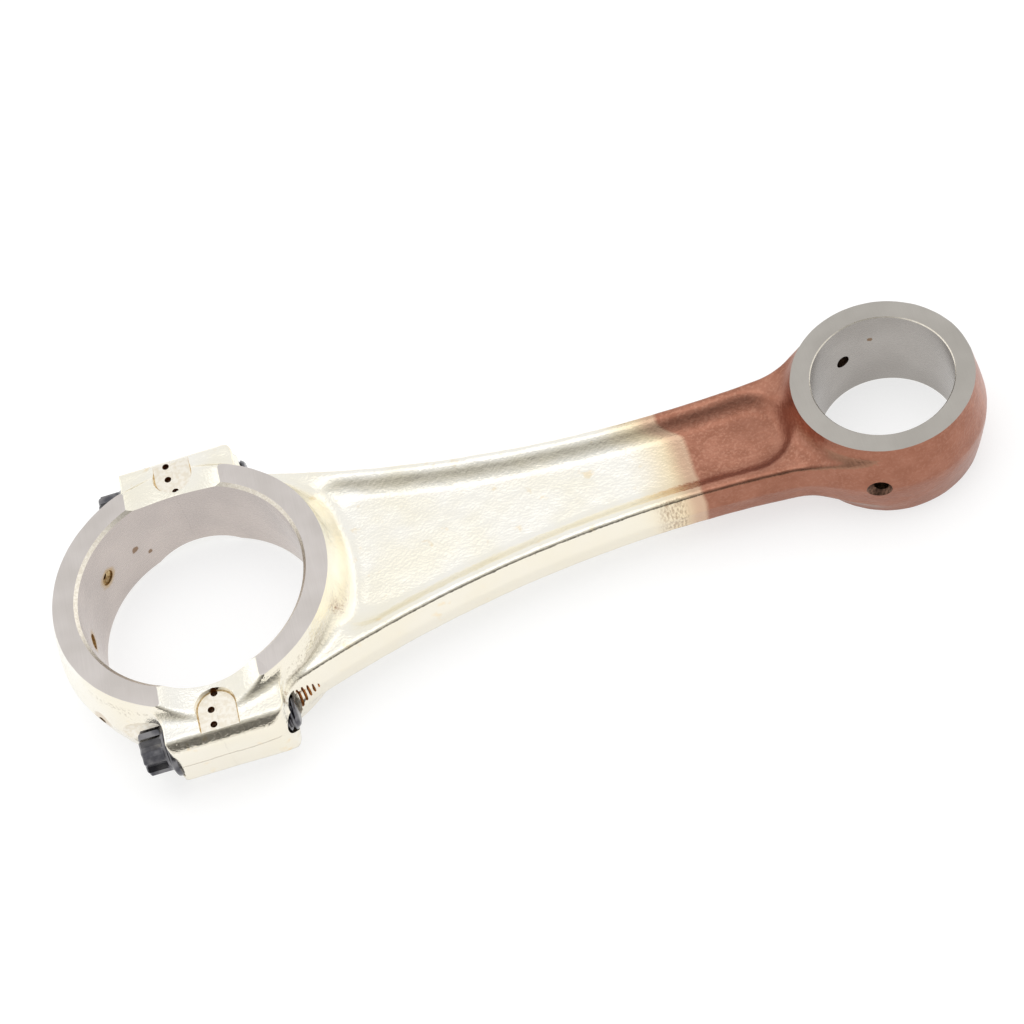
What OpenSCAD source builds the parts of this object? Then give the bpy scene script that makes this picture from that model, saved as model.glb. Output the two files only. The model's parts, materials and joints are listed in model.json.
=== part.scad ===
// Connecting rod with a split big end: a forged rod, a bearing cap and two flanged 12-point bolts.
// Frame: origin on the axis of the big-end bore at mid-width, +X towards the small end, +Z along the bore.

/* [Overall] */
// Distance between the axes of the two bores
centre_distance = 147; // [135:1:165]
// Width of both ends across their ground faces
end_width = 21.6; // [20.8:0.2:23]

/* [Big end] */
// Diameter of the crankpin bore
big_bore_d = 47.63; // [47:0.01:48.5]
// Outside diameter of the ground face around the crankpin bore
big_face_d = 58.2; // [57.6:0.1:59]
// Outside diameter at mid-width, where the forging die parts
big_mid_d = 62.8; // [62:0.1:63.6]
// Diameter of the three oil holes in the cap
cap_oil_d = 3.6; // [3:0.1:4.2]

/* [Small end] */
// Diameter of the wrist pin bore
small_bore_d = 29.21; // [28.8:0.01:29.8]
// Outside diameter of the ground face around the wrist pin bore
small_face_d = 37.6; // [37:0.1:38.4]
// Outside diameter at mid-width, where the forging die parts
small_mid_d = 41.2; // [40.8:0.1:42]
// Diameter of the two oil holes in the small end
small_oil_d = 3; // [2.4:0.1:3.6]

/* [Beam] */
// Thickness of the beam across its rims
beam_thickness = 10.4; // [9.6:0.2:11.2]
// Thickness of the web between the two recesses
web_thickness = 5.2; // [4.2:0.2:6]
// Width of the beam at its waist
waist_width = 22.8; // [22:0.2:24]
// Width of each rim beside the recess
rim_width = 2.3; // [1.8:0.1:2.8]

/* [Bolts] */
// Distance between the two bolt axes
bolt_spacing = 59.8; // [59.4:0.1:60.2]
// Outside diameter of the bolt thread
bolt_d = 7.9; // [7.5:0.1:7.9]
// Length of the bolt under its flange
bolt_length = 25.4; // [25:0.1:26]
// Diameter of the bolt flange
flange_d = 12.5; // [12:0.1:12.8]
// Size across the points of the bolt head
head_points_d = 9.3; // [8.8:0.1:9.6]

/* [Hidden] */
$fn = 96;

half_width = end_width / 2;
bolt_y = bolt_spacing / 2;
waist_half = waist_width / 2;

// How far a cutter passes the surface it cuts, and a size larger than either end
cut_margin = 1;
cut_size = 100;
// Facets of the large arcs along the beam
arc_fn = 720;

// Chamfers at the mouths of the bores
big_chamfer = 0.6;
small_chamfer = 0.3;

// Bolt bosses: one block across the joint on each side of the big end
boss_half_height = 7.9;
boss_bevel_height = 2.4;
boss_bevel_inset = 0.9;
boss_outer_y = 35.5;
boss_inner_y = 25;
boss_cap_x = -11.4;
boss_rod_x = 13.6;
boss_cap_corner = 1.2;
boss_rod_corner = 4.2;

// As-forged dip between the ground faces at the joint, just above the flat tops of the bosses
dip_radius = 18.6;
dip_floor_z = 8;

// Flanks of the beam: two large arcs, closest together at the waist, that end at the flank roots
waist_x = centre_distance - 45;
flank_root_x = 24.8;
flank_root_y = 23.7;
flank_dx = waist_x - flank_root_x;
flank_dy = flank_root_y - waist_half;
flank_radius = (pow(flank_dx, 2) + pow(flank_dy, 2)) / (2 * flank_dy);
flank_centre_y = waist_half + flank_radius;

// Where the beam is cut off inside the big end
beam_root_half = 28;

// Flares from the waist into the small end
flare_radius = 60;
flare_steps = 8;
flare_ring_inset = 0.7;

// Blends between the ends of the bolt bosses and the flanks, tangent to both
blend_radius = 6.5;
blend_inner_y = 20;
blend_x = boss_rod_x + blend_radius;
blend_reach = flank_radius - blend_radius;
blend_y = flank_centre_y - sqrt(pow(blend_reach, 2) - pow(waist_x - blend_x, 2));
blend_root_x = waist_x - (waist_x - blend_x) * flank_radius / blend_reach;

// Recess on both faces of the beam: round corners at the big end, one full round at the small end
recess_start_x = 27.5;
recess_corner_r = 7;
recess_end_centre_x = centre_distance - 29.3;

// Bolts and tapped holes: 24 threads to the inch, and grooves of the tap past the tip of the bolt
thread_pitch = 25.4 / 24;
thread_depth = 0.6;
thread_r = bolt_d / 2;
hole_clearance = 0.1;
tip_clearance = 0.2;
tap_grooves = 7;
tap_land = 0.2;
tap_drill_run = 9;
shank_length = 9;
tip_chamfer = 0.8;
flange_height = 2;
flange_lip = 1.2;
head_end_x = -17.3;
seat_x = -10.5;
seat_clearance = 0.35;

// Oil holes, measured in degrees from the +X axis around each bore
cap_oil_angles = [142, 180, 218];
small_oil_angles = [110, -110];
small_oil_mouth_d = 5;

// Solid ring with draft on its outside: widest at mid-width, ground flat on both faces
module drafted_disc(face_d, mid_d) {
    rotate_extrude()
        polygon([
            [0, -half_width],
            [face_d / 2, -half_width],
            [mid_d / 2, 0],
            [face_d / 2, half_width],
            [0, half_width]
        ]);
}

// Bore through an end, with a chamfer at both mouths
module bore_cutter(bore_d, chamfer) {
    r = bore_d / 2;
    over = cut_margin;
    rotate_extrude()
        polygon([
            [0, -half_width - over],
            [r + chamfer + over, -half_width - over],
            [r, -half_width + chamfer],
            [r, half_width - chamfer],
            [r + chamfer + over, half_width + over],
            [0, half_width + over]
        ]);
}

// Plan of the two bolt bosses, with rounded corners at both ends
module boss_plan() {
    for (side = [-1, 1]) {
        difference() {
            translate([boss_cap_x, side > 0 ? boss_inner_y : -boss_outer_y])
                square([boss_rod_x - boss_cap_x, boss_outer_y - boss_inner_y]);
            translate([boss_rod_x, side * boss_outer_y])
                corner_cut(boss_rod_corner, 1, side);
            translate([boss_cap_x, side * boss_outer_y])
                corner_cut(boss_cap_corner, -1, side);
        }
    }
}

// What is cut from a square corner to leave a round one
module corner_cut(r, sx, sy) {
    scale([sx, sy])
        translate([-r, -r])
            difference() {
                square(r + cut_margin);
                circle(r = r);
            }
}

// Both bosses, bevelled along their outer edges
module bosses() {
    z_top = boss_half_height;
    z_bevel = boss_half_height - boss_bevel_height;
    y_top = boss_outer_y - boss_bevel_inset;
    intersection() {
        linear_extrude(2 * boss_half_height, center = true) boss_plan();
        translate([boss_cap_x - cut_margin, 0, 0])
            rotate([90, 0, 90])
                linear_extrude(boss_rod_x - boss_cap_x + 2 * cut_margin)
                    polygon([
                        [-y_top, -z_top], [y_top, -z_top], [boss_outer_y, -z_bevel], [boss_outer_y, z_bevel],
                        [y_top, z_top], [-y_top, z_top], [-boss_outer_y, z_bevel], [-boss_outer_y, -z_bevel]
                    ]);
    }
}

// Plan of the beam between its two flank arcs, each moved inwards by the inset
module beam_plan(inset = 0) {
    difference() {
        translate([0, -beam_root_half]) square([centre_distance, 2 * beam_root_half]);
        for (side = [-1, 1])
            translate([waist_x, side * flank_centre_y]) circle(r = flank_radius + inset, $fn = arc_fn);
    }
}

// Plan of the flares where the beam widens into the small end
module flare_plan() {
    ring_r = small_mid_d / 2 - flare_ring_inset;
    centre_y = waist_half + flare_radius;
    centre_x = centre_distance - sqrt(pow(ring_r + flare_radius, 2) - pow(centre_y, 2));
    end_angle = asin((centre_distance - centre_x) / (ring_r + flare_radius));
    arc = [
        for (i = [0 : flare_steps])
            let (a = end_angle * i / flare_steps)
                [centre_x + flare_radius * sin(a), centre_y - flare_radius * cos(a)]
    ];
    for (side = [0, 1])
        mirror([0, side])
            polygon(concat(arc, [[centre_distance, 0], [centre_x, 0]]));
}

// Plan of the blends from the bosses into the flanks
module blend_plan() {
    start_x = boss_rod_x - boss_rod_corner;
    for (side = [0, 1])
        mirror([0, side])
            difference() {
                translate([start_x, blend_inner_y])
                    square([blend_root_x - start_x, blend_y - blend_inner_y]);
                translate([blend_x, blend_y]) circle(r = blend_radius);
            }
}

// Recess in one face of the beam: each round is tangent to the walls that run along the flanks
module recess_plan() {
    wall_r = flank_radius + rim_width;
    corner_x = recess_start_x + recess_corner_r;
    corner_reach = wall_r + recess_corner_r;
    corner_y = flank_centre_y - sqrt(pow(corner_reach, 2) - pow(waist_x - corner_x, 2));
    corner_end_x = waist_x - (waist_x - corner_x) * wall_r / corner_reach;
    corner_end_y = flank_centre_y - (flank_centre_y - corner_y) * wall_r / corner_reach;
    end_reach = sqrt(pow(recess_end_centre_x - waist_x, 2) + pow(flank_centre_y, 2));
    wall_end_x = waist_x + (recess_end_centre_x - waist_x) * wall_r / end_reach;
    intersection() {
        beam_plan(inset = rim_width);
        translate([corner_end_x, -beam_root_half])
            square([wall_end_x - corner_end_x, 2 * beam_root_half]);
    }
    translate([recess_end_centre_x, 0]) circle(r = end_reach - wall_r);
    translate([recess_start_x, -corner_y])
        square([corner_end_x + cut_margin - recess_start_x, 2 * corner_y]);
    translate([corner_x, -corner_end_y]) square([corner_end_x - corner_x, 2 * corner_end_y]);
    for (side = [-1, 1])
        translate([corner_x, side * corner_y]) circle(r = recess_corner_r);
}

// I-section beam, before the ends are joined to it
module beam() {
    difference() {
        linear_extrude(beam_thickness, center = true) {
            beam_plan();
            flare_plan();
        }
        for (side = [-1, 1])
            translate([0, 0, side * (web_thickness + beam_thickness) / 2])
                linear_extrude(beam_thickness, center = true) recess_plan();
    }
    linear_extrude(beam_thickness, center = true) blend_plan();
}

// Everything turned or drilled in the big end after forging, shared by the rod and the cap
module big_end_cuts() {
    bore_cutter(big_bore_d, big_chamfer);
    for (side = [-1, 1])
        translate([0, 0, side * (dip_floor_z + dip_radius)])
            rotate([90, 0, 0])
                cylinder(r = dip_radius, h = cut_size, center = true);
}

// Hole for one bolt, lying along X: clear as far as the bolt reaches, then tapped and drilled beyond it
module bolt_hole_cutter() {
    clear_r = thread_r + hole_clearance;
    drill_r = thread_r - thread_depth;
    clear_x = seat_x + bolt_length + tip_clearance;
    groove_half = thread_pitch * (1 - tap_land) / 2;
    groove_x = clear_x + thread_pitch * tap_land;
    grooves = [
        for (i = [0 : tap_grooves - 1], corner = [0, 1, 2])
            [corner == 1 ? thread_r : drill_r, groove_x + i * thread_pitch + corner * groove_half]
    ];
    rotate([0, 90, 0])
        rotate_extrude()
            polygon(concat(
                [[0, seat_x - cut_margin], [clear_r, seat_x - cut_margin], [clear_r, clear_x]],
                [[drill_r, clear_x]],
                grooves,
                [[drill_r, clear_x + tap_drill_run], [0, clear_x + tap_drill_run]]
            ));
}

// Flat seat for one bolt flange, cut towards -X so that the head is reached from the cap's side
module seat_cutter() {
    translate([seat_x, 0, 0])
        rotate([0, -90, 0])
            cylinder(r = flange_d / 2 + seat_clearance, h = cut_size);
}

// Radial oil hole through the wall of an end
module oil_hole(angle, hole_d, inner_r, outer_r) {
    rotate([0, 0, angle])
        translate([inner_r - cut_margin, 0, 0])
            rotate([0, 90, 0])
                cylinder(d = hole_d, h = outer_r - inner_r + 2 * cut_margin);
}

// Countersunk mouth of an oil hole on the outside of an end
module oil_mouth(angle, mouth_d, outer_r) {
    rotate([0, 0, angle])
        translate([outer_r - mouth_d / 2, 0, 0])
            rotate([0, 90, 0])
                cylinder(d1 = 0, d2 = 2 * mouth_d, h = mouth_d);
}

// Everything on the cap's side of the joint, which is the plane X = 0
module cap_side() {
    translate([-cut_size, -cut_size / 2, -cut_size / 2]) cube(cut_size);
}

module rod() {
    color("wheat")
        difference() {
            union() {
                beam();
                drafted_disc(big_face_d, big_mid_d);
                translate([centre_distance, 0, 0]) drafted_disc(small_face_d, small_mid_d);
                bosses();
            }
            cap_side();
            big_end_cuts();
            for (side = [-1, 1])
                translate([0, side * bolt_y, 0]) bolt_hole_cutter();
            translate([centre_distance, 0, 0]) {
                bore_cutter(small_bore_d, small_chamfer);
                for (angle = small_oil_angles) {
                    oil_hole(angle, small_oil_d, small_bore_d / 2, small_mid_d / 2);
                    oil_mouth(angle, small_oil_mouth_d, small_mid_d / 2);
                }
            }
        }
}

module cap() {
    color("linen")
        difference() {
            union() {
                drafted_disc(big_face_d, big_mid_d);
                bosses();
            }
            mirror([1, 0, 0]) cap_side();
            big_end_cuts();
            for (side = [-1, 1])
                translate([0, side * bolt_y, 0]) {
                    bolt_hole_cutter();
                    seat_cutter();
                }
            for (angle = cap_oil_angles)
                oil_hole(angle, cap_oil_d, big_bore_d / 2, big_mid_d / 2);
        }
}

// Flanged bolt lying along X, with its tip towards the small end. Two hexagons make its 12 points.
module bolt() {
    tip_x = seat_x + bolt_length;
    thread_x = seat_x + shank_length;
    thread_turns = floor((bolt_length - shank_length - tip_chamfer) / thread_pitch);
    thread_end = thread_x + thread_turns * thread_pitch;
    flange_r = flange_d / 2;
    neck_r = head_points_d / 2;
    rotate([0, 90, 0])
        rotate_extrude()
            polygon(concat(
                [[0, seat_x - flange_height], [neck_r, seat_x - flange_height]],
                [[flange_r, seat_x - flange_lip], [flange_r, seat_x], [thread_r, seat_x]],
                [
                    for (i = [0 : thread_turns - 1], corner = [0, 1])
                        [thread_r - corner * thread_depth, thread_x + (i + corner / 2) * thread_pitch]
                ],
                [[thread_r, thread_end], [thread_r - tip_chamfer, tip_x], [0, tip_x]]
            ));
    translate([head_end_x, 0, 0])
        rotate([0, 90, 0])
            for (turn = [0, 30])
                rotate([0, 0, turn])
                    cylinder(r = neck_r, h = seat_x - flange_height - head_end_x, $fn = 6);
}

module cap_bolt_left() {
    color("dimgray") translate([0, bolt_y, 0]) bolt();
}

module cap_bolt_right() {
    color("dimgray") translate([0, -bolt_y, 0]) bolt();
}

rod();
cap();
cap_bolt_left();
cap_bolt_right();
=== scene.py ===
import json
import math

import bpy
import numpy as np
from mathutils import Matrix, Vector


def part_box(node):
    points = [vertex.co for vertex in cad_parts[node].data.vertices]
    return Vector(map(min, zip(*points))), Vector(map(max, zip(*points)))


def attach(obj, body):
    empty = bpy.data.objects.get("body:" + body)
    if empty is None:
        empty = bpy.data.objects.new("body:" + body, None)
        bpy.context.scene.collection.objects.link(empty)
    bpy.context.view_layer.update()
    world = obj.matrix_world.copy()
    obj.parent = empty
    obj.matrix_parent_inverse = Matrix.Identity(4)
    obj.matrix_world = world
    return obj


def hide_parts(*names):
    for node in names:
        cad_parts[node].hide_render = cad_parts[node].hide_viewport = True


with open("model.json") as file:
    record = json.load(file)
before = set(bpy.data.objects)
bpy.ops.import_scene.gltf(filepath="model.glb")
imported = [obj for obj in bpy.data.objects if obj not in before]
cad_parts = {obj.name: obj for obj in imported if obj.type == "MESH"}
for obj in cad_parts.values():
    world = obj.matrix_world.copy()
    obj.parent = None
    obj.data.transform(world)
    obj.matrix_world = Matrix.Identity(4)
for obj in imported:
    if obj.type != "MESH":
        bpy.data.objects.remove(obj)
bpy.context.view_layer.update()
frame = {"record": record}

# Looks of the connecting rod. The forging is a smooth-blended solid that is sampled on a grid, and everything
# that a machine tool made is cut from it with booleans, so forged skin and machined steel meet at true edges.
# Shapes are worked out in millimetres and turned into metres when a mesh is made.
MM = 0.001

# ---------------------------------------------------------------- sizes that come from the frame
mounts = {m["name"]: m for m in frame["record"]["mounts"]}
rod_lo, rod_hi = (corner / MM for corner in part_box("rod"))
cap_lo, cap_hi = (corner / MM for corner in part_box("cap"))
bolt_lo, bolt_hi = (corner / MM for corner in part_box("cap_bolt_left"))

SMALL_X = mounts["small_end_bore"]["pos_m"][0] / MM
BIG_R = mounts["big_end_bore"]["dims"]["r_mm"]
SMALL_R = mounts["small_end_bore"]["dims"]["r_mm"]
HALF_WIDTH = rod_hi.z
BIG_MID_R = -cap_lo.x
SMALL_MID_R = rod_hi.x - SMALL_X
BOSS_Y = rod_hi.y
BOLT_Y = (bolt_lo.y + bolt_hi.y) / 2
FLANGE_R = (bolt_hi.z - bolt_lo.z) / 2
HEAD_X = bolt_lo.x
TIP_X = bolt_hi.x

# ---------------------------------------------------------------- forging
BIG_FACE_R = 29.1
SMALL_FACE_R = 18.8
GRIND_STOCK = 1.0
CROWN = 1.3
RING_TOP_ROUND = 1.0

BOSS_TOP = 7.9
BOSS_BEVEL_Z = 5.5
BOSS_BEVEL_INSET = 1.7
BOSS_INNER_Y = 24.0
BOSS_CAP_X = -11.4
BOSS_ROD_X = 13.6
BOSS_CAP_CORNER = 1.6
BOSS_ROD_CORNER = 4.2
BOSS_BEVEL_ROUND = 0.5
BOSS_TOP_ROUND = 0.7
BOSS_FILLET = 2.6
DIP_Z = 7.95
DIP_CURVE = 0.0272

RIM_Z = 5.2
WEB_Z = 2.6
RIM_WIDTH = 2.1
WAIST_X = SMALL_X - 45
WAIST_HALF = 11.4
FLANK_ROOT = (24.8, 23.7)
FLANK_DX = WAIST_X - FLANK_ROOT[0]
FLANK_DY = FLANK_ROOT[1] - WAIST_HALF
FLANK_R = (FLANK_DX ** 2 + FLANK_DY ** 2) / (2 * FLANK_DY)
FLANK_Y = WAIST_HALF + FLANK_R
FLANK_BULGE = 0.8
BEAM_START_X = 8.0
RIM_ROUND = 1.0

# Blends between the ends of the bosses and the flanks, and flares between the flanks and the small end
BLEND_R = 6.5
BLEND_X = BOSS_ROD_X + BLEND_R
BLEND_REACH = FLANK_R - BLEND_R
BLEND_Y = FLANK_Y - math.sqrt(BLEND_REACH ** 2 - (WAIST_X - BLEND_X) ** 2)
BLEND_ROOT_X = WAIST_X - (WAIST_X - BLEND_X) * FLANK_R / BLEND_REACH
BLEND_INNER_Y = 20.0
FLARE_R = 60.0
FLARE_RING_R = SMALL_MID_R - 1.6
FLARE_Y = WAIST_HALF + FLARE_R
FLARE_X = SMALL_X - math.sqrt((FLARE_RING_R + FLARE_R) ** 2 - FLARE_Y ** 2)
FLARE_END_X = SMALL_X - 8
FLARE_END_ROUND = 8.0

# Recess on each face of the beam. Its end at the big end rises more gently than its sides
POCKET_START_X = 27.5
POCKET_END_X = SMALL_X - 29.3
POCKET_WALL_SLOPE = 0.95
POCKET_NECK_EASE = 0.8
POCKET_CORNER_ROUND = 6.0
POCKET_LIP_ROUND = 1.0
POCKET_FOOT_ROUND = 1.6

# Fillets where the beam meets the ends. The one at the big end is wide in the middle and tight at the bosses
NECK_FILLET_WIDE = 5.0
NECK_FILLET_TIGHT = 1.2
NECK_FADE_LENGTH = 10
SMALL_END_FILLET = 5.0

# Unevenness of the forged skin: size of the bumps, their height, and the seed of their noise
SKIN_BUMPS = [(8.0, 0.07, 11), (2.4, 0.035, 12), (1.1, 0.018, 13)]
SKIN_INSET = 0.08

# ---------------------------------------------------------------- machining
BIG_CHAMFER = 0.7
SMALL_CHAMFER = 0.2
SEAT_X = -10.5
SEAT_R = FLANGE_R + 0.35
THREAD_R = 3.95
THREAD_PITCH = 25.4 / 24
THREAD_DEPTH = 0.6
HOLE_CLEARANCE = 0.1
TIP_CLEARANCE = 0.2
DRILL_LENGTH = 9
TAP_GROOVES = 7
TAP_RELIEF = 0.05
CAP_OIL_ANGLES = (142, 180, 218)
SMALL_OIL_ANGLES = (110, -110)
SPOT_X = 11.6
SPOT_R = 4.4
SPOT_DEPTH_PAST_TIP = 0.5

# Radii of an oil hole at the bore, along its length and at its outer mouth
CAP_OIL_RADII = (1.7, 0.8, 1.1)
SMALL_OIL_RADII = (1.5, 1.5, 2.5)

# Milled arch on top of each boss, and the drilled dots inside it (the near arch is the deeper one)
ARCH_X = 0.2
ARCH_R = 4.0
ARCH_TIP_Y = 25.1
NEAR_ARCH_DEPTH = 0.3
FAR_ARCH_DEPTH = 0.05
MARKS = [(0.2, 25.5), (-0.95, 29.05), (-0.95, 32.5)]
MARK_R = 0.76
MARK_DEPTH = 1.2

FRACTURE_GAP = 0.015
FRACTURE_BUMPS = [(5.0, 0.22, 21), (1.6, 0.1, 22)]

# How far the cutters reach past the part, and which side of it each bolt is on
OVERRUN = 5
SIDES = (1, -1)

GRID_STEP = 0.45


# ---------------------------------------------------------------- fields and noise
def smooth_min(a, b, k):
    """The smaller of two distances, rounded where they are within k of each other."""
    h = np.clip(0.5 + 0.5 * (b - a) / k, 0, 1)
    return b + (a - b) * h - k * h * (1 - h)


def smooth_max(a, b, k):
    return -smooth_min(-a, -b, k)


def lattice_noise(points, size, seed):
    """Smooth noise from -1 to 1 whose bumps are about size across. It repeats after 32 of them."""
    cells = 32
    table = np.random.default_rng(seed).uniform(-1, 1, (cells, cells, cells))
    scaled = np.asarray(points, float) / size
    low = np.floor(scaled).astype(int)
    t = scaled - low
    t = t * t * (3 - 2 * t)
    total = np.zeros(len(scaled))
    for corner in np.ndindex(2, 2, 2):
        index = (low + corner) % cells
        weight = np.prod(np.where(corner, t, 1 - t), axis=1)
        total += weight * table[index[:, 0], index[:, 1], index[:, 2]]
    return total


def summed_noise(points, layers):
    return sum(height * lattice_noise(points, size, seed) for size, height, seed in layers)


# ---------------------------------------------------------------- shape of the forging
def ring_wall(x, y, z, centre_x, face_r, mid_r):
    """Outside of an end: drafted from the parting line at mid-width to the ground face."""
    rise = np.abs(z) / HALF_WIDTH
    wall_r = mid_r - (mid_r - face_r) * rise ** CROWN
    return np.hypot(x - centre_x, y) - wall_r


def boss_plan(x, y):
    """Distance to the outline of the two bolt bosses, seen from above."""
    middle = (BOSS_CAP_X + BOSS_ROD_X) / 2
    half = (BOSS_ROD_X - BOSS_CAP_X) / 2
    corner = np.where(x > middle, BOSS_ROD_CORNER, BOSS_CAP_CORNER)
    qx = np.abs(x - middle) - half + corner
    qy = np.abs(y) - BOSS_Y + corner
    outside = np.hypot(np.maximum(qx, 0), np.maximum(qy, 0)) - corner
    return np.maximum(outside + np.minimum(np.maximum(qx, qy), 0), BOSS_INNER_Y - np.abs(y))


def bosses(x, y, z):
    bevel_rise = BOSS_TOP - BOSS_BEVEL_Z
    bevel_length = math.hypot(bevel_rise, BOSS_BEVEL_INSET)
    bevel = (np.abs(y) - BOSS_Y) * bevel_rise + (np.abs(z) - BOSS_BEVEL_Z) * BOSS_BEVEL_INSET
    solid = smooth_max(boss_plan(x, y), bevel / bevel_length, BOSS_BEVEL_ROUND)
    return smooth_max(solid, np.abs(z) - BOSS_TOP, BOSS_TOP_ROUND)


def big_end(x, y, z):
    """Ring and bosses. Beside the split the ring is lower than its ground faces."""
    wall = ring_wall(x, y, z, 0, BIG_FACE_R, BIG_MID_R)
    top = np.minimum(HALF_WIDTH + GRIND_STOCK, DIP_Z + DIP_CURVE * x * x)
    ring = smooth_max(wall, np.abs(z) - top, RING_TOP_ROUND)
    return smooth_min(ring, bosses(x, y, z), BOSS_FILLET)


def small_end(x, y, z):
    wall = ring_wall(x, y, z, SMALL_X, SMALL_FACE_R, SMALL_MID_R)
    return np.maximum(wall, np.abs(z) - HALF_WIDTH - GRIND_STOCK)


def pocket_depth(x, y, flank):
    """How far below the rim's crest the recess is, from its outline."""
    neck = (POCKET_START_X - x) * POCKET_NECK_EASE
    rounded = smooth_max(flank + RIM_WIDTH, neck, POCKET_CORNER_ROUND)
    end_r = math.hypot(POCKET_END_X - WAIST_X, FLANK_Y) - FLANK_R - RIM_WIDTH
    outline = np.where(x > POCKET_END_X, np.hypot(x - POCKET_END_X, y) - end_r, rounded)
    inside = smooth_max(-outline, 0, POCKET_LIP_ROUND)
    return smooth_min(inside * POCKET_WALL_SLOPE, RIM_Z - WEB_Z, POCKET_FOOT_ROUND)


def beam(x, y, z):
    """I-beam between the ends, with its recesses, flares and blends."""
    flank = FLANK_R - np.hypot(x - WAIST_X, np.abs(y) - FLANK_Y)
    flare = FLARE_R - np.hypot(x - FLARE_X, np.abs(y) - FLARE_Y)
    plan = np.where(x > FLARE_X, np.minimum(flank, flare), flank)
    blend_box = np.maximum(np.maximum(np.abs(y) - BLEND_Y, BLEND_INNER_Y - np.abs(y)), x - BLEND_ROOT_X)
    blend = np.maximum(blend_box, BLEND_R - np.hypot(x - BLEND_X, np.abs(y) - BLEND_Y))
    plan = np.minimum(plan, blend)
    drafted = plan - FLANK_BULGE * np.clip(1 - np.abs(z) / RIM_Z, 0, 1)
    drafted = smooth_max(np.maximum(drafted, BEAM_START_X - x), x - FLARE_END_X, FLARE_END_ROUND)
    top = RIM_Z - pocket_depth(x, y, flank)
    return smooth_max(drafted, np.abs(z) - top, RIM_ROUND)


def forging(points):
    """Distance from each point to the skin of the whole forging: rod and cap in one, before machining."""
    x, y, z = points[..., 0], points[..., 1], points[..., 2]
    middle = np.clip((BOSS_INNER_Y - np.abs(y)) / NECK_FADE_LENGTH, 0, 1)
    fillet = NECK_FILLET_TIGHT + (NECK_FILLET_WIDE - NECK_FILLET_TIGHT) * middle
    body = smooth_min(beam(x, y, z), big_end(x, y, z), fillet)
    return smooth_min(body, small_end(x, y, z), SMALL_END_FILLET)


def gradient(field, points):
    """Slope of a field at each point, measured over a twentieth of a millimetre each way."""
    reach = 0.05
    steps = np.eye(3) * reach
    return np.stack([field(points + s) - field(points - s) for s in steps], axis=-1) / (2 * reach)


# ---------------------------------------------------------------- field to mesh
def surface_nets(values, low, step):
    """Closed quad mesh of the surface where values, sampled on a grid, change sign."""
    inside = values < 0
    shape = np.array(values.shape) - 1
    corners = list(np.ndindex(2, 2, 2))
    counts = sum(inside[tuple(slice(c, c + n) for c, n in zip(corner, shape))].astype(np.int8)
                 for corner in corners)
    cells = np.argwhere((counts > 0) & (counts < 8))
    total = np.zeros((len(cells), 3))
    crossings = np.zeros(len(cells))
    for a in corners:
        for axis in range(3):
            if a[axis]:
                continue
            b = tuple(c + (i == axis) for i, c in enumerate(a))
            va = values[tuple((cells + a).T)]
            vb = values[tuple((cells + b).T)]
            hit = (va < 0) != (vb < 0)
            t = np.where(hit, va / np.where(hit, va - vb, 1), 0)
            total += hit[:, None] * (np.array(a) + t[:, None] * np.eye(3)[axis])
            crossings += hit
    vertices = low + step * (cells + total / crossings[:, None])
    number = np.full(shape, -1)
    number[tuple(cells.T)] = np.arange(len(cells))
    quads = []
    for axis in range(3):
        u, v = (axis + 1) % 3, (axis + 2) % 3
        ahead = np.roll(inside, -1, axis)
        crossing = inside != ahead
        for edge_axis, edge in ((axis, -1), (u, 0), (v, 0)):
            crossing[tuple(edge if i == edge_axis else slice(None) for i in range(3))] = False
        points = np.argwhere(crossing)
        eu, ev = np.eye(3, dtype=int)[u], np.eye(3, dtype=int)[v]
        around = [number[tuple((points - s).T)] for s in (0 * eu, eu, eu + ev, ev)]
        quad = np.stack(around, axis=1)
        flip = ~inside[tuple(points.T)]
        quad[flip] = quad[flip][:, ::-1]
        quads.append(quad)
    return vertices, np.concatenate(quads)


def forging_mesh():
    """Samples the forging, moves the mesh onto its surface and gives it an uneven skin."""
    margin = 2.5 * GRID_STEP
    low = np.array([cap_lo.x, -BOSS_Y, -HALF_WIDTH - GRIND_STOCK]) - margin
    high = np.array([rod_hi.x, BOSS_Y, HALF_WIDTH + GRIND_STOCK]) + margin
    axes = [np.arange(a, b, GRID_STEP) for a, b in zip(low, high)]
    grid = np.stack(np.meshgrid(*axes, indexing="ij"), axis=-1)
    vertices, quads = surface_nets(forging(grid), low, GRID_STEP)
    for _ in range(2):
        slope = gradient(forging, vertices)
        squared = np.maximum((slope ** 2).sum(1), 0.1)
        vertices -= slope * (forging(vertices) / squared)[:, None]
    slope = gradient(forging, vertices)
    normals = slope / np.maximum(np.linalg.norm(slope, axis=1), 1e-6)[:, None]
    skin = summed_noise(vertices, SKIN_BUMPS)
    return vertices + normals * (skin - SKIN_INSET)[:, None], quads


def make_object(name, vertices, faces, materials, face_materials=None):
    """Mesh object from millimetres."""
    mesh = bpy.data.meshes.new(name)
    mesh.from_pydata((np.asarray(vertices) * MM).tolist(), [], [list(f) for f in faces])
    for material in materials:
        mesh.materials.append(material)
    if face_materials is not None:
        mesh.polygons.foreach_set("material_index", np.asarray(face_materials, dtype=np.int32))
    mesh.update()
    made = bpy.data.objects.new(name, mesh)
    bpy.context.scene.collection.objects.link(made)
    return made


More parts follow.
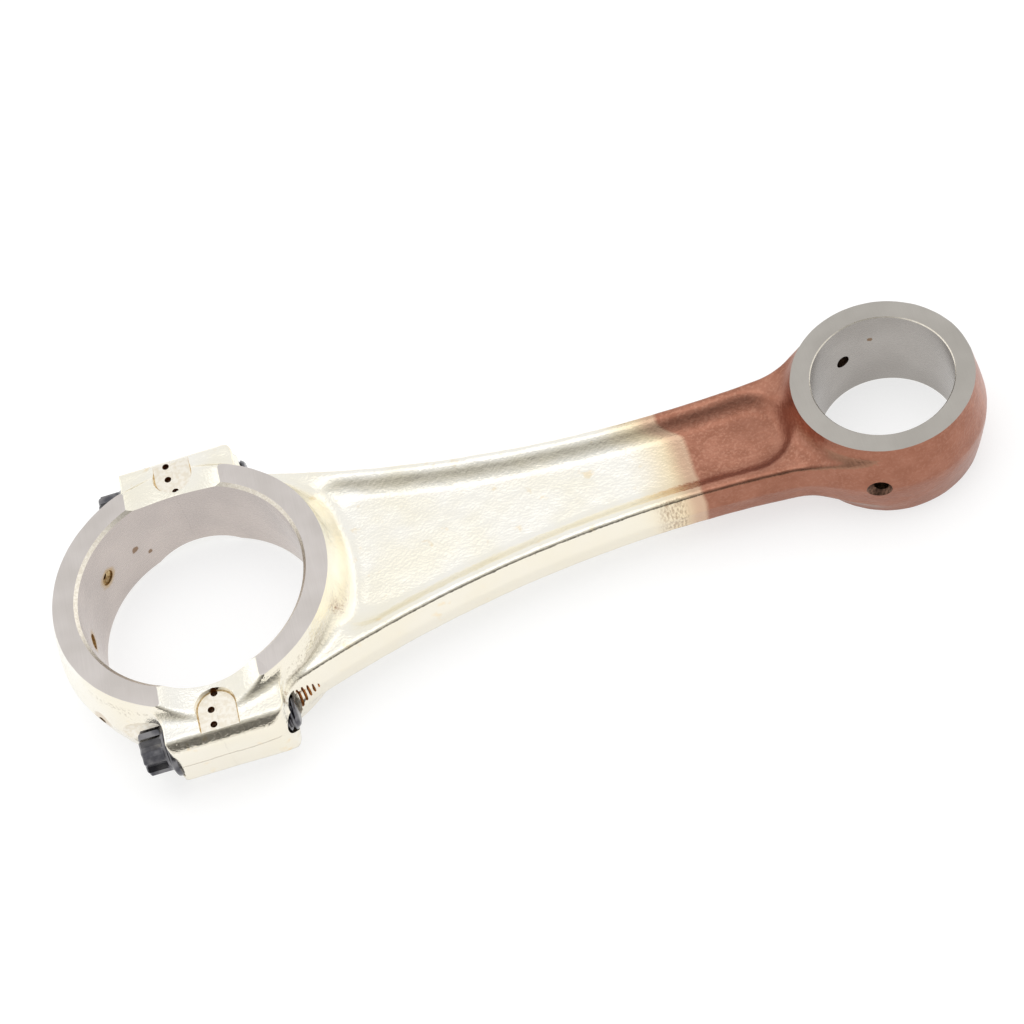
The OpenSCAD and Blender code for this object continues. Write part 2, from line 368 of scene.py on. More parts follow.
# ---------------------------------------------------------------- cutters
def revolved(profile, paints, matrix, segments=144):
    """Solid of revolution about Z from (radius, height) points that start and end on the axis.
    paints holds one material number for each stretch of the profile."""
    angles = np.linspace(0, 2 * math.pi, segments, endpoint=False)
    rings = profile[1:-1]
    vertices = [(r * math.cos(a), r * math.sin(a), h) for r, h in rings for a in angles]
    first, last = len(vertices), len(vertices) + 1
    vertices += [(0, 0, profile[0][1]), (0, 0, profile[-1][1])]
    faces, face_paints = [], []
    for i in range(segments):
        j = (i + 1) % segments
        faces.append((first, j, i))
        face_paints.append(paints[0])
        for k in range(len(rings) - 1):
            a, b = k * segments, (k + 1) * segments
            faces.append((a + i, a + j, b + j, b + i))
            face_paints.append(paints[k + 1])
        end = (len(rings) - 1) * segments
        faces.append((last, end + i, end + j))
        face_paints.append(paints[-1])
    placed = [matrix @ Vector(v) for v in vertices]
    return placed, faces, face_paints


def lofted(outlines, heights, wall_paints, end_paint):
    """Closed solid through outlines of equal length, stacked at rising heights. All run anticlockwise."""
    n = len(outlines[0])
    vertices = [(x, y, z) for outline, z in zip(outlines, heights) for x, y in outline]
    top = (len(outlines) - 1) * n
    faces = [tuple(reversed(range(n))), tuple(range(top, top + n))]
    paints = [end_paint, end_paint]
    for level, paint in enumerate(wall_paints):
        low, high = level * n, (level + 1) * n
        faces += [(low + i, low + (i + 1) % n, high + (i + 1) % n, high + i) for i in range(n)]
        paints += [paint] * n
    return vertices, faces, paints


def joined(parts):
    """Several (vertices, faces, paints) solids as one."""
    vertices, faces, paints = [], [], []
    for part_vertices, part_faces, part_paints in parts:
        start = len(vertices)
        vertices += [tuple(v) for v in part_vertices]
        faces += [tuple(start + i for i in f) for f in part_faces]
        paints += part_paints
    return vertices, faces, paints


def cut(target, parts):
    """Cuts the parts out of the target. New faces keep the cutter's materials."""
    vertices, faces, paints = joined(parts)
    cutter = make_object("cutter", vertices, faces, SKINS, paints)
    modifier = target.modifiers.new("cut", "BOOLEAN")
    modifier.operation = "DIFFERENCE"
    modifier.solver = "MANIFOLD"
    modifier.material_mode = "TRANSFER"
    modifier.object = cutter
    graph = bpy.context.evaluated_depsgraph_get()
    mesh = bpy.data.meshes.new_from_object(target.evaluated_get(graph))
    target.modifiers.clear()
    target.data = mesh
    bpy.data.objects.remove(cutter)


def turned(angle, axis):
    return Matrix.Rotation(math.radians(angle), 4, axis)


def along_x(y):
    """Turns a solid about Z into one about a line along X at the given Y."""
    return Matrix.Translation((0, y, 0)) @ turned(90, "Y")


def radial(centre_x, angle):
    """Turns a solid about Z into one along a radius of an end."""
    return Matrix.Translation((centre_x, 0, 0)) @ turned(angle, "Z") @ turned(90, "Y")


def face_cutters():
    """Blocks that grind both faces of both ends flat."""
    blocks = []
    middle_x = (BOSS_ROD_X + SMALL_X) / 2
    y = BOSS_Y + OVERRUN
    for start, end in ((cap_lo.x - OVERRUN, middle_x - 1), (middle_x + 1, rod_hi.x + OVERRUN)):
        outline = [(start, -y), (end, -y), (end, y), (start, y)]
        for low, high in ((HALF_WIDTH, HALF_WIDTH + OVERRUN), (-HALF_WIDTH - OVERRUN, -HALF_WIDTH)):
            blocks.append(lofted([outline, outline], (low, high), [GROUND], GROUND))
    return blocks


def bore_cutter(centre_x, r, chamfer):
    """Bore right through an end, with a chamfer at both faces."""
    over = HALF_WIDTH + 1
    profile = [(0, -over), (r + chamfer + 1, -over), (r, -HALF_WIDTH + chamfer),
               (r, HALF_WIDTH - chamfer), (r + chamfer + 1, over), (0, over)]
    paints = [BORE, CHAMFER, BORE, CHAMFER, BORE]
    return revolved(profile, paints, Matrix.Translation((centre_x, 0, 0)), 256)


def bolt_hole_cutter(side):
    """Seat and clear hole for one bolt, then the grooves that the tap left where it ran out of the flank."""
    clear_r = THREAD_R + HOLE_CLEARANCE
    drill_r = THREAD_R - THREAD_DEPTH
    groove_r = THREAD_R + TAP_RELIEF
    start_x = cap_lo.x - OVERRUN
    clear_x = TIP_X + TIP_CLEARANCE
    end_x = clear_x + DRILL_LENGTH
    profile = [(0, start_x), (SEAT_R, start_x), (SEAT_R, SEAT_X), (clear_r, SEAT_X)]
    profile += [(clear_r, clear_x), (drill_r, clear_x)]
    paints = [MILLED, MILLED, MILLED, HOLE, HOLE]
    for i in range(TAP_GROOVES):
        groove = ((drill_r, 0.45), (groove_r, 0.59), (groove_r, 0.87), (drill_r, 1.01))
        profile += [(r, clear_x + (i + turns) * THREAD_PITCH) for r, turns in groove]
        paints += [FORGED, GROOVE, GROOVE, GROOVE]
    profile += [(drill_r, end_x), (0, end_x)]
    paints += [FORGED, FORGED]
    return revolved(profile, paints, along_x(side * BOLT_Y), 96)


def spot_cutter(side):
    """Round spot face that frees the tip of one bolt."""
    end_x = TIP_X + SPOT_DEPTH_PAST_TIP
    profile = [(0, SPOT_X), (SPOT_R, SPOT_X), (SPOT_R, end_x), (0, end_x)]
    return revolved(profile, [TOOLED, TOOLED, TOOLED], along_x(side * BOLT_Y), 96)


def oil_cutter(centre_x, angle, inner_r, outer_r, radii, paints):
    """Radial oil hole with its own radius at the bore, along its length and at its outer mouth."""
    bore_r, hole_r, mouth_r = radii
    step_in = inner_r + 0.5
    sink = outer_r - (mouth_r - hole_r)
    profile = [(0, inner_r - 2), (bore_r, inner_r - 2), (bore_r, step_in), (hole_r, step_in + 0.5)]
    profile += [(hole_r, sink), (mouth_r + 1, outer_r + 1), (0, outer_r + 1)]
    near_bore, middle, mouth = paints
    profile_paints = [near_bore, near_bore, near_bore, middle, mouth, middle]
    return revolved(profile, profile_paints, radial(centre_x, angle), 64)


def arch_outline(side, spread):
    """Outline of the milled spot, widened by spread: round inside and open at the boss's side."""
    centre_y = ARCH_TIP_Y + ARCH_R
    r = ARCH_R + spread
    turns = np.linspace(0, math.pi, 33)
    outline = [(ARCH_X + r * math.cos(a), -centre_y + r * math.sin(a)) for a in turns]
    outline += [(ARCH_X - r, -BOSS_Y - 2), (ARCH_X + r, -BOSS_Y - 2)]
    return [(x, -y) for x, y in reversed(outline)] if side > 0 else outline


def arch_cutter(side, depth):
    """Shallow milled spot on top of a boss, whose corner has kept a thin brown stain."""
    floor_z = BOSS_TOP - 0.08 - depth
    outlines = [arch_outline(side, spread) for spread in (-0.12, 0.12, 0.5)]
    return lofted(outlines, (floor_z, floor_z + 0.22, BOSS_TOP + 2), [STAIN, FORGED], MILLED)


def mark_cutter(x, y):
    """Drilled dot in the top of a boss, with the drill's pointed end."""
    point_z = BOSS_TOP - MARK_DEPTH - 0.7
    over = BOSS_TOP + 2
    profile = [(0, point_z), (MARK_R * 0.95, BOSS_TOP - MARK_DEPTH), (MARK_R, over), (0, over)]
    return revolved(profile, [HOLE, GROOVE, HOLE], Matrix.Translation((x, y, 0)), 32)


def fracture_block(side, gap):
    """Everything on one side of the broken joint face, which wanders about the plane X = 0."""
    ys = np.linspace(-BOSS_Y - 3, BOSS_Y + 3, 131)
    zs = np.linspace(-HALF_WIDTH - 2, HALF_WIDTH + 2, 43)
    points = np.array([(0, y, z) for y in ys for z in zs])
    wander = summed_noise(points, FRACTURE_BUMPS)
    near = points + np.outer(wander + side * gap / 2, (1, 0, 0))
    far = points + (side * 2 * SMALL_X, 0, 0)
    rows, columns = len(ys), len(zs)

    def sheet(start, flip):
        firsts = [start + i * columns + j for i in range(rows - 1) for j in range(columns - 1)]
        quads = [(a, a + columns, a + columns + 1, a + 1) for a in firsts]
        return [tuple(reversed(q)) for q in quads] if flip else quads

    border = [i * columns for i in range(rows)]
    border += [(rows - 1) * columns + j for j in range(1, columns)]
    border += [i * columns + columns - 1 for i in range(rows - 2, -1, -1)]
    border += [j for j in range(columns - 2, 0, -1)]
    count = rows * columns
    outward = side > 0
    faces = sheet(0, outward) + sheet(count, not outward)
    walls = [(a, b, count + b, count + a) for a, b in zip(border, border[1:] + border[:1])]
    faces += [tuple(reversed(w)) for w in walls] if not outward else walls
    return np.concatenate([near, far]).tolist(), faces, [BROKEN] * len(faces)


# ---------------------------------------------------------------- materials
# Small brown stains on the bores: centre of the end, angle, radius and height
STAINS = [(0, 120.7, 1.0, -1.2), (0, 114.8, 0.6, -4.9), (SMALL_X, 84.7, 0.55, 3.8)]

# Places along the rod, in millimetres: where the plating turns to copper, and where the steel looks darker
COPPER_START = (104.6, 105.8)
DARKER_STEEL = (60.0, 100.0)


class Nodes:
    """A node tree and short ways to add to it."""

    def __init__(self, tree):
        self.tree = tree

    def node(self, kind, *inputs, **settings):
        """New node of a kind, with values or links for its first inputs. None leaves an input alone."""
        made = self.tree.nodes.new("ShaderNode" + kind)
        for key, value in settings.items():
            setattr(made, key, value)
        for socket, value in zip(made.inputs, inputs):
            self.feed(socket, value)
        return made

    def feed(self, socket, value):
        if isinstance(value, bpy.types.Node):
            value = value.outputs[0]
        if isinstance(value, bpy.types.NodeSocket):
            self.tree.links.new(value, socket)
        elif value is not None:
            socket.default_value = value

    def math(self, operation, a, b=None):
        return self.node("Math", a, b, operation=operation).outputs[0]

    def add(self, a, b):
        return self.math("ADD", a, b)

    def less(self, a, b):
        return self.math("SUBTRACT", a, b)

    def times(self, a, b):
        return self.math("MULTIPLY", a, b)

    def size_of(self, value):
        return self.math("ABSOLUTE", value)

    def step(self, value, low, high):
        """0 below low, 1 above high, smooth between."""
        made = self.node("MapRange", value, low, high, 0.0, 1.0, interpolation_type="SMOOTHSTEP")
        return made.outputs[0]

    def fade(self, value, low, high):
        """1 below low, 0 above high, smooth between."""
        return self.less(1.0, self.step(value, low, high))

    def scaled(self, value, low, high):
        """A 0 to 1 value spread from low to high."""
        return self.node("MapRange", value, 0.0, 1.0, low, high).outputs[0]


class Shader(Nodes):
    """One procedural material: a Principled shader and the nodes that feed it."""

    def __init__(self, name, **constants):
        self.material = bpy.data.materials.new(name)
        self.material.use_nodes = True
        super().__init__(self.material.node_tree)
        self.surface = next(n for n in self.tree.nodes if n.type == "BSDF_PRINCIPLED")
        for socket, value in constants.items():
            self.surface.inputs[socket.replace("_", " ")].default_value = value
        self.coordinate = self.node("TexCoord").outputs["Object"]
        self.facing = self.node("SeparateXYZ", self.node("TexCoord").outputs["Normal"])

    def noise(self, size, detail=2.0, stretch=None):
        """Noise from 0 to 1 whose bumps are about size millimetres across."""
        vector = self.coordinate
        if stretch:
            vector = self.node("Mapping", vector, None, None, stretch).outputs[0]
        made = self.node("TexNoise")
        self.feed(made.inputs["Vector"], vector)
        made.inputs["Scale"].default_value = 1 / (size * MM)
        made.inputs["Detail"].default_value = detail
        return made.outputs[0]

    def mix(self, factor, a, b):
        made = self.node("Mix", data_type="RGBA")
        for socket, value in (("Factor_Float", factor), ("A_Color", a), ("B_Color", b)):
            self.feed(next(i for i in made.inputs if i.identifier == socket), value)
        return next(o for o in made.outputs if o.identifier == "Result_Color")

    def tint(self, strength, mask, a, b):
        """Colour a, turned toward b by strength where the mask is 1."""
        return self.mix(self.times(mask, strength), a, b)

    def place(self, axis):
        """Position along one axis, in millimetres."""
        split = self.node("SeparateXYZ", self.coordinate)
        return self.times(split.outputs[axis], 1 / MM)

    def near_hole(self, centre_x, angle, reach, height=0.0):
        """1 beside a radial line of an end, fading to 0 at about reach millimetres from it."""
        cosine, sine = math.cos(math.radians(angle)), math.sin(math.radians(angle))
        x = self.less(self.place("X"), centre_x)
        y = self.place("Y")
        z = self.less(self.place("Z"), height)
        along = self.add(self.times(x, cosine), self.times(y, sine))
        across = self.less(self.times(y, cosine), self.times(x, sine))
        away = self.math("SQRT", self.add(self.times(across, across), self.times(z, z)))
        ragged = self.add(away, self.scaled(self.noise(1.5, 3.0), -0.8, 0.8))
        return self.times(self.fade(ragged, reach * 0.6, reach), self.step(along, 0.0, 1.0))

    def bumps(self, *layers):
        """Stacks (height, depth in millimetres) layers into the shader's normal."""
        normal = None
        for height, depth in layers:
            made = self.node("Bump")
            made.inputs["Strength"].default_value = 1.0
            made.inputs["Distance"].default_value = depth * MM
            self.feed(made.inputs["Height"], height)
            if normal is not None:
                self.feed(made.inputs["Normal"], normal)
            normal = made.outputs[0]
        self.feed(self.surface.inputs["Normal"], normal)

    def finish(self, color, roughness):
        self.feed(self.surface.inputs["Base Color"], color)
        self.feed(self.surface.inputs["Roughness"], roughness)
        return self.material


def rgb(red, green, blue):
    """Linear colour from 0 to 255 display values."""
    channels = [c / 255 for c in (red, green, blue)]
    return [c / 12.92 if c <= 0.04045 else ((c + 0.055) / 1.055) ** 2.4 for c in channels] + [1.0]


class PlatedSkin(Shader):
    """Bright plating over the forged skin, with copper on the small end."""

    def __init__(self):
        super().__init__("plated_forging", Metallic=1.0)
        self.x, self.y = self.place("X"), self.place("Y")
        self.peel = self.noise(0.65, 2.0)
        self.clouds = self.noise(14.0, 3.0)
        self.blots = self.noise(4.0, 3.0)
        self.rise = self.size_of(self.facing.outputs["Z"])
        # Painted shade and reflection: faces that slope, such as the walls of the recesses and the fillets,
        # are tinted gold on the silver and darker on the copper.
        self.slope_shade = self.times(self.step(self.rise, 0.3, 0.55), self.fade(self.rise, 0.75, 0.95))
        self.outward = self.times(self.facing.outputs["Y"], self.math("SIGN", self.y))
        # Painted shade: faces turned outward, such as the flanks, are tinted cream on the silver and darker
        # on the copper.
        self.outside = self.step(self.outward, 0.3, 0.8)

    def silver(self):
        color = self.mix(self.step(self.clouds, 0.35, 0.65), rgb(249, 247, 240), rgb(247, 243, 229))
        # Painted shade and reflection: gold tint on the sloping faces.
        color = self.tint(0.35, self.slope_shade, color, rgb(243, 230, 192))
        # Painted shade: cream tint on the outward flanks.
        color = self.tint(0.6, self.outside, color, rgb(238, 230, 211))
        return self.tint(0.45, self.step(self.blots, 0.64, 0.76), color, rgb(240, 214, 160))

    def copper(self):
        color = self.mix(self.step(self.blots, 0.3, 0.7), rgb(180, 126, 105), rgb(160, 108, 88))
        color = self.tint(0.5, self.step(self.peel, 0.45, 0.7), color, rgb(200, 148, 126))
        color = self.tint(0.4, self.step(self.clouds, 0.5, 0.7), color, rgb(146, 98, 80))
        # Painted shade: darker copper on the sloping faces.
        color = self.tint(0.35, self.slope_shade, color, rgb(128, 82, 66))
        # Painted shade: darker copper on the outward flanks.
        return self.tint(0.5, self.outside, color, rgb(140, 90, 70))

    def boundary(self):
        """Position along the rod, bent so that the copper starts unevenly, and earlier on the far rim."""
        uneven = self.add(self.x, self.times(self.less(self.clouds, 0.5), 3.0))
        return self.add(uneven, self.times(self.step(self.y, 5.0, 9.0), 4.5))

    def tarnished(self, color, edge):
        """Silver that yellows, then browns, toward the copper, with a dirty patch on the flanks."""
        color = self.mix(self.step(edge, 91.0, 103.0), color, rgb(238, 220, 184))
        color = self.mix(self.step(edge, 99.5, 104.0), color, rgb(208, 176, 150))
        dirty = self.times(self.step(edge, 94.5, 98.0), self.fade(edge, 100.5, 102.0))
        dirty = self.times(dirty, self.step(self.outward, 0.0, 0.3))
        grime = self.noise(0.4, 3.0, stretch=(1.0, 1.0, 0.35))
        dirty = self.times(dirty, self.step(grime, 0.35, 0.7))
        return self.tint(0.7, dirty, color, rgb(164, 136, 112))

    def painted_edge_reflection(self):
        """Painted dark reflection: a darker band along the bevel of the bosses and the outer edge of the
        beam's rim.
        """
        ragged = self.add(self.rise, self.times(self.less(self.noise(0.6, 3.0), 0.5), 0.35))
        band = self.times(self.step(ragged, 0.24, 0.32), self.fade(ragged, 0.62, 0.7))
        height = self.size_of(self.place("Z"))
        on_edge = self.times(self.step(height, 4.3, 4.9), self.fade(height, 8.2, 8.6))
        band = self.times(self.times(band, on_edge), self.step(self.outward, 0.45, 0.65))
        on_boss = self.step(self.size_of(self.y), BOSS_Y - 3, BOSS_Y - 2)
        return self.times(band, self.scaled(on_boss, 0.3, 0.2))

    def parting_seam(self):
        """Thin wavering line at mid-width along the outer side of the bosses."""
        away = self.size_of(self.add(self.place("Z"), self.scaled(self.clouds, 1.0, -1.6)))
        seam = self.times(self.fade(away, 0.05, 0.2), self.step(self.outward, 0.9, 0.97))
        return self.times(seam, self.step(self.size_of(self.y), BOSS_Y - 0.7, BOSS_Y - 0.4))


def plated_skin():
    s = PlatedSkin()
    edge = s.boundary()
    is_copper = s.step(edge, *COPPER_START)
    color = s.mix(is_copper, s.tarnished(s.silver(), edge), s.copper())
    # Painted dark reflection on the bevels of the bosses and the outer edge of the rim.
    color = s.mix(s.painted_edge_reflection(), color, rgb(140, 124, 102))
    color = s.tint(0.6, s.step(s.noise(0.8, 1.0), 0.83, 0.87), color, rgb(150, 124, 96))
    for angle in CAP_OIL_ANGLES:
        color = s.tint(0.5, s.near_hole(0, angle, 3.0), color, rgb(190, 160, 120))
    seam = s.parting_seam()
    color = s.tint(0.4, seam, color, rgb(176, 154, 124))
    grit = s.noise(0.3, 1.0)
    s.bumps((s.clouds, 0.25), (s.peel, 0.075), (grit, 0.03), (seam, 0.05))
    return s.finish(color, s.add(s.scaled(s.peel, 0.12, 0.24), s.times(is_copper, 0.14)))


def ground_steel():
    """Flat ground faces: fine straight grinding marks."""
    s = Shader("ground_steel", Metallic=1.0)
    lines = s.noise(0.25, 2.0, stretch=(1.0, 0.03, 1.0))
    clouds = s.noise(9.0, 2.0)
    near_small = s.step(s.place("X"), *DARKER_STEEL)
    color = s.mix(s.step(clouds, 0.3, 0.7), rgb(214, 208, 205), rgb(203, 197, 193))
    darker = s.mix(s.step(clouds, 0.3, 0.7), rgb(182, 178, 172), rgb(172, 168, 162))
    color = s.mix(near_small, color, darker)
    color = s.tint(0.18, lines, color, rgb(150, 145, 140))
    s.bumps((lines, 0.012))
    return s.finish(color, s.scaled(lines, 0.26, 0.4))


def bore_steel():
    """Honed bore walls: faint marks round the bore, and brown stains at and beside the oil holes."""
    s = Shader("bore_steel", Metallic=1.0)
    lines = s.noise(0.3, 2.0, stretch=(0.04, 0.04, 1.0))
    clouds = s.noise(16.0, 2.0)
    near_small = s.step(s.place("X"), *DARKER_STEEL)
    big = s.mix(s.step(clouds, 0.35, 0.65), rgb(206, 196, 190), rgb(194, 185, 180))
    small = s.mix(s.step(clouds, 0.35, 0.65), rgb(180, 175, 170), rgb(168, 163, 158))
    color = s.mix(near_small, big, small)
    for angle in CAP_OIL_ANGLES:
        color = s.tint(0.8, s.near_hole(0, angle, 2.9), color, rgb(186, 158, 116))
    for centre_x, angle, reach, height in STAINS:
        color = s.tint(0.8, s.near_hole(centre_x, angle, reach, height), color, rgb(128, 96, 62))
    s.bumps((lines, 0.002))
    return s.finish(color, s.scaled(lines, 0.22, 0.32))


def simple_metal(name, light, dark, rough, grain=0.5, depth=0.02):
    """Metal with one grain that drives its colour, its roughness and its bumps."""
    s = Shader(name, Metallic=1.0)
    grains = s.noise(grain, 3.0)
    color = s.mix(s.step(grains, 0.35, 0.65), light, dark)
    s.bumps((grains, depth))
    return s.finish(color, s.scaled(grains, rough - 0.06, rough + 0.08))


def bolt_black():
    """Black oxide with a little oil: dark, satin, and worn slightly brighter in patches."""
    s = Shader("black_bolt", Metallic=1.0)
    grains = s.noise(0.4, 3.0)
    clouds = s.noise(2.5, 2.0)
    color = s.mix(s.step(clouds, 0.35, 0.65), rgb(80, 80, 85), rgb(124, 123, 125))
    s.bumps((grains, 0.012))
    return s.finish(color, s.scaled(grains, 0.14, 0.26))


SKINS = [
    plated_skin(),
    ground_steel(),
    bore_steel(),
    simple_metal("bright_chamfer", rgb(236, 230, 218), rgb(222, 214, 200), 0.25),
    simple_metal("milled_plate", rgb(248, 243, 232), rgb(238, 230, 214), 0.3, 0.8, 0.03),
    simple_metal("drilled_hole", rgb(100, 78, 60), rgb(60, 46, 36), 0.55),
    simple_metal("tap_groove", rgb(206, 142, 78), rgb(130, 84, 50), 0.5, 1.2),
    simple_metal("drill_wall", rgb(124, 94, 78), rgb(84, 64, 54), 0.4),
    simple_metal("stained_edge", rgb(214, 190, 146), rgb(180, 148, 100), 0.4),
    simple_metal("broken_steel", rgb(190, 186, 180), rgb(150, 146, 140), 0.5, 0.6, 0.1),
    simple_metal("tooled_face", rgb(244, 238, 224), rgb(204, 190, 164), 0.3, 0.5, 0.06),
]
FORGED, GROUND, BORE, CHAMFER, MILLED, HOLE, GROOVE, DRILLED, STAIN, BROKEN, TOOLED = range(len(SKINS))
BLACK = bolt_black()


# ---------------------------------------------------------------- pieces
def finish_mesh(piece):
    """Smooth shading that keeps machined edges sharp."""
    mesh = piece.data
    mesh.shade_smooth()
    mesh.set_sharp_from_angle(angle=math.radians(32))
    mesh.update()


def make_rod_and_cap():
    """Machines the one forging, then breaks it in two at the joint."""
    vertices, quads = forging_mesh()
    rod = make_object("forged_rod", vertices, quads, SKINS, np.zeros(len(quads)))
    cut(rod, face_cutters())
    bores = [bore_cutter(0, BIG_R, BIG_CHAMFER), bore_cutter(SMALL_X, SMALL_R, SMALL_CHAMFER)]
    cut(rod, bores + [bolt_hole_cutter(side) for side in SIDES])
    cut(rod, [spot_cutter(side) for side in SIDES])
    holes = [oil_cutter(0, a, BIG_R, BIG_MID_R, CAP_OIL_RADII, (STAIN, STAIN, HOLE)) for a in CAP_OIL_ANGLES]
    holes += [oil_cutter(SMALL_X, a, SMALL_R, SMALL_MID_R, SMALL_OIL_RADII, (HOLE, HOLE, DRILLED))
              for a in SMALL_OIL_ANGLES]
    cut(rod, holes + [arch_cutter(-1, NEAR_ARCH_DEPTH), arch_cutter(1, FAR_ARCH_DEPTH)])
    cut(rod, [mark_cutter(x, side * y) for x, y in MARKS for side in SIDES])
    cap = rod.copy()
    cap.data = rod.data.copy()
    cap.name = "bearing_cap"
    bpy.context.scene.collection.objects.link(cap)
    cut(rod, [fracture_block(-1, -FRACTURE_GAP)])
    cut(cap, [fracture_block(1, -FRACTURE_GAP)])
    return rod, cap


ROUND, FLUTED, THREADED = range(3)
HEAD_R = 4.65
HEAD_END_X = SEAT_X - 2.0
SHANK_R = THREAD_R - 0.1
THREAD_START_X = SEAT_X + 8.5
THREAD_END_X = TIP_X - 0.8


def head_rows():
    """Dished end, rounded edge and fluted side of the head."""
    dish_x = HEAD_X + 0.45
    rows = [(HEAD_X, 0.0, ROUND), (dish_x, 1.0, ROUND), (dish_x, 2.2, ROUND), (HEAD_X, 2.7, ROUND)]
    rows += [(HEAD_X, 0.86 * HEAD_R, FLUTED), (HEAD_X + 0.12, 0.93 * HEAD_R, FLUTED)]
    rows.append((HEAD_X + 0.4, HEAD_R, FLUTED))
    rows += [(x, HEAD_R, FLUTED) for x in np.linspace(HEAD_X + 0.9, HEAD_END_X - 0.3, 6)]
    return rows


def flange_rows():
    """Curved rise from the head to the flange, its rim, and its seat."""
    rows = []
    spread = FLANGE_R - 0.35 - HEAD_R
    for i in range(1, 9):
        turn = i / 8 * math.pi / 2
        rows.append((HEAD_END_X - 0.3 + 1.1 * math.sin(turn), HEAD_R + spread * (1 - math.cos(turn)), ROUND))
    rows += [(SEAT_X - 1.0, FLANGE_R - 0.1, ROUND), (SEAT_X - 0.8, FLANGE_R, ROUND)]
    rows += [(SEAT_X - 0.2, FLANGE_R, ROUND), (SEAT_X - 0.02, FLANGE_R - 0.2, ROUND)]
    return rows


def shank_rows():
    """Plain shank, thread and chamfered tip."""
    rows = [(SEAT_X - 0.02, THREAD_R + 0.05, ROUND), (SEAT_X + 0.3, SHANK_R, ROUND)]
    rows += [(x, SHANK_R, ROUND) for x in np.linspace(SEAT_X + 1, THREAD_START_X - 0.2, 4)]
    count = int((THREAD_END_X - THREAD_START_X) / THREAD_PITCH * 12)
    rows += [(x, THREAD_R, THREADED) for x in np.linspace(THREAD_START_X, THREAD_END_X, count)]
    rows += [(TIP_X - 0.55, THREAD_R - 0.45, ROUND), (TIP_X - 0.15, THREAD_R - 0.8, ROUND)]
    rows += [(TIP_X, THREAD_R - 1.1, ROUND), (TIP_X, 0.0, ROUND)]
    return rows


def row_radius(x, r, kind, angles):
    """Radius of one row of the bolt at each angle."""
    if kind == FLUTED:
        half = math.pi / 6
        flats = [math.cos(half) / np.cos((angles + turn) % (2 * half) - half) for turn in (0, half)]
        star = np.maximum(*flats)
        return r * (1 - 1.35 * (1 - star))
    if kind == THREADED:
        phase = (x / THREAD_PITCH - angles / (2 * math.pi)) % 1
        wave = np.clip(np.abs(phase * 2 - 1) * 1.3 - 0.15, 0, 1)
        return r - THREAD_DEPTH * wave
    return np.full(len(angles), r)


def make_bolt(name, side):
    segments = 144
    angles = np.linspace(0, 2 * math.pi, segments, endpoint=False)
    rows = head_rows() + flange_rows() + shank_rows()
    rings = rows[1:-1]
    vertices = []
    for x, r, kind in rings:
        radius = row_radius(x, r, kind, angles)
        vertices += [(x, side * BOLT_Y + rr * math.cos(a), rr * math.sin(a)) for rr, a in zip(radius, angles)]
    first, last = len(vertices), len(vertices) + 1
    vertices += [(rows[0][0] + 0.45, side * BOLT_Y, 0), (rows[-1][0], side * BOLT_Y, 0)]
    faces = []
    for i in range(segments):
        j = (i + 1) % segments
        faces.append((first, j, i))
        faces += [(k * segments + i, k * segments + j, (k + 1) * segments + j, (k + 1) * segments + i)
                  for k in range(len(rings) - 1)]
        end = (len(rings) - 1) * segments
        faces.append((last, end + i, end + j))
    return make_object(name, vertices, faces, [BLACK])


rod, cap = make_rod_and_cap()
left_bolt = make_bolt("flange_bolt_left", 1)
right_bolt = make_bolt("flange_bolt_right", -1)
for piece, body, node, slot in ((rod, "rod", "rod", "plated_forging"), (cap, "cap", "cap", "plated_forging"),
                                (left_bolt, "bolt_left", "cap_bolt_left", "black_bolt"),
                                (right_bolt, "bolt_right", "cap_bolt_right", "black_bolt")):
    finish_mesh(piece)
    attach(piece, body)
    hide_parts(node)


# ---------------------------------------------------------------- floor, light and camera
def make_floor():
    """White floor that glows a little by itself, like a light table."""
    s = Shader("floor_white", Specular_IOR_Level=0.1, Emission_Color=(1, 1, 1, 1), Emission_Strength=0.67)
    clouds = s.noise(60.0, 2.0)
    s.bumps((s.noise(2.0, 2.0), 0.01))
    material = s.finish(s.mix(clouds, rgb(160, 160, 160), rgb(163, 163, 163)), s.scaled(clouds, 0.85, 0.95))
    half = 1500
    corners = [(x * half, y * half, -HALF_WIDTH) for x, y in ((-1, -1), (1, -1), (1, 1), (-1, 1))]
    make_object("floor", corners, [(0, 1, 2, 3)], [material])


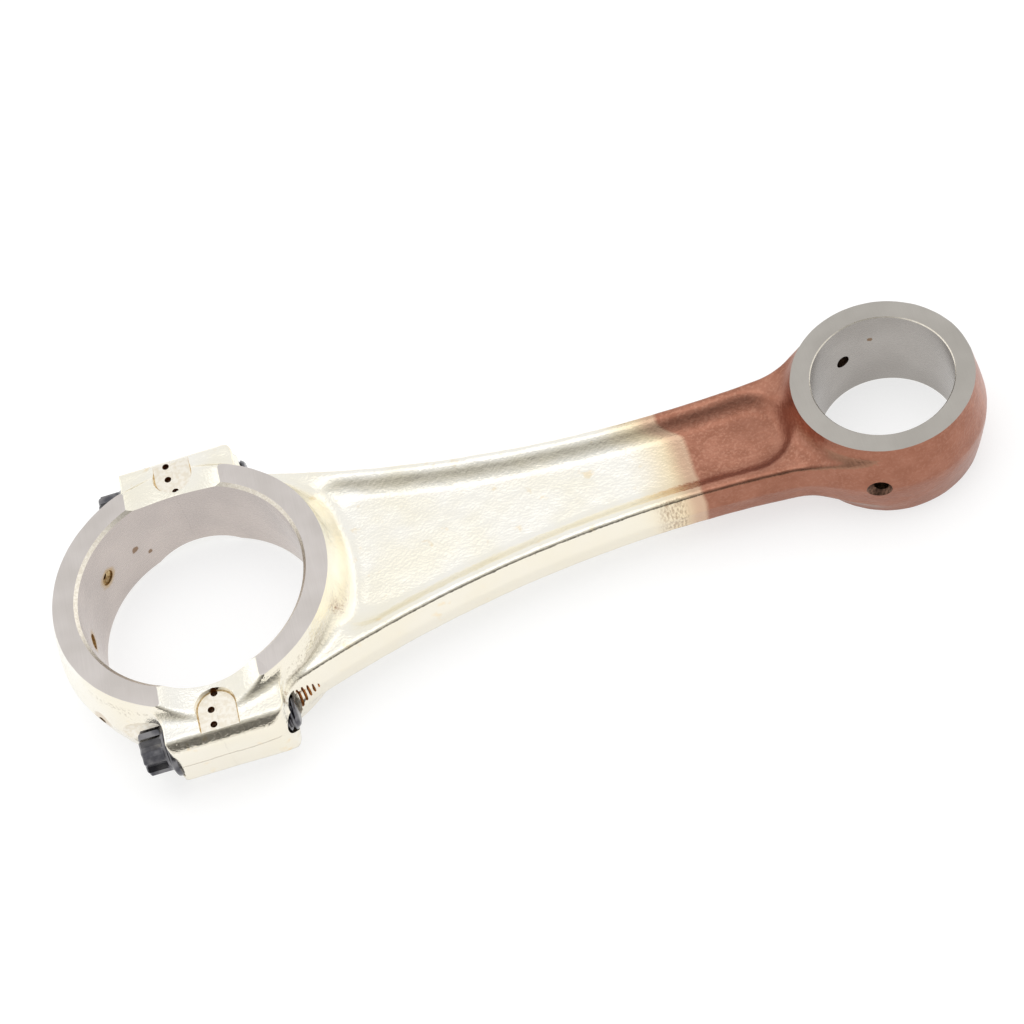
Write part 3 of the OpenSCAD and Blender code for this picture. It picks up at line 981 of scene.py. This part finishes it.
def make_world():
    """White studio: bright above and behind the part, lit strips at both sides, and a dark room in front."""
    world = bpy.data.worlds.new("studio")
    world.use_nodes = True
    n = Nodes(world.node_tree)
    background = next(node for node in n.tree.nodes if node.type == "BACKGROUND")
    direction = n.node("TexCoord").outputs["Generated"]

    def toward(target):
        return n.node("VectorMath", direction, target, operation="DOT_PRODUCT").outputs["Value"]

    room = n.node("MapRange", toward((0, 0.7, 0.7)), -0.6, 0.62, 0.1, 0.94).outputs[0]
    overhead = n.times(n.step(toward(Vector((0, 0.18, 1)).normalized()), 0.9, 0.985), 0.38)
    sideways = n.size_of(n.node("SeparateXYZ", direction).outputs["X"])
    strips = n.times(n.step(sideways, 0.52, 0.75), 0.4)
    n.feed(background.inputs["Strength"], n.add(n.add(room, strips), overhead))
    background.inputs["Color"].default_value = (1, 0.995, 0.985, 1)
    bpy.context.scene.world = world


def make_light(name, place, target, size, power):
    light = bpy.data.lights.new(name, "AREA")
    light.shape = "RECTANGLE"
    light.size, light.size_y = size
    light.energy = power
    lamp = bpy.data.objects.new(name, light)
    lamp.location = place
    lamp.rotation_euler = (Vector(target) - Vector(place)).to_track_quat("-Z", "Y").to_euler()
    lamp.visible_glossy = False
    bpy.context.scene.collection.objects.link(lamp)


def make_camera():
    """Camera placed as the photographer's was, worked out from the circles of both ends."""
    target = Vector((66.97, 1.2, 0)) * MM
    elevation = math.radians(55.19)
    azimuth = math.radians(2.383)
    roll = math.radians(-18.571)
    distance = 541.7 * MM
    camera = bpy.data.cameras.new("camera")
    camera.lens = 92.05
    camera.sensor_width = 36
    camera.clip_start = 0.01
    camera.clip_end = 20
    view = bpy.data.objects.new("camera", camera)
    tilt = Matrix.Rotation(math.pi / 2 - elevation, 4, "X")
    turn = Matrix.Rotation(azimuth, 4, "Z") @ tilt @ Matrix.Rotation(roll, 4, "Z")
    view.matrix_world = Matrix.Translation(target) @ turn @ Matrix.Translation((0, 0, distance))
    bpy.context.scene.collection.objects.link(view)
    bpy.context.scene.camera = view


make_floor()
make_world()
make_light("overhead_softbox", (0.05, 0.25, 1.0), (0.07, 0, 0), (1.2, 1.0), 4)
make_camera()
bpy.context.scene.view_settings.view_transform = "Standard"
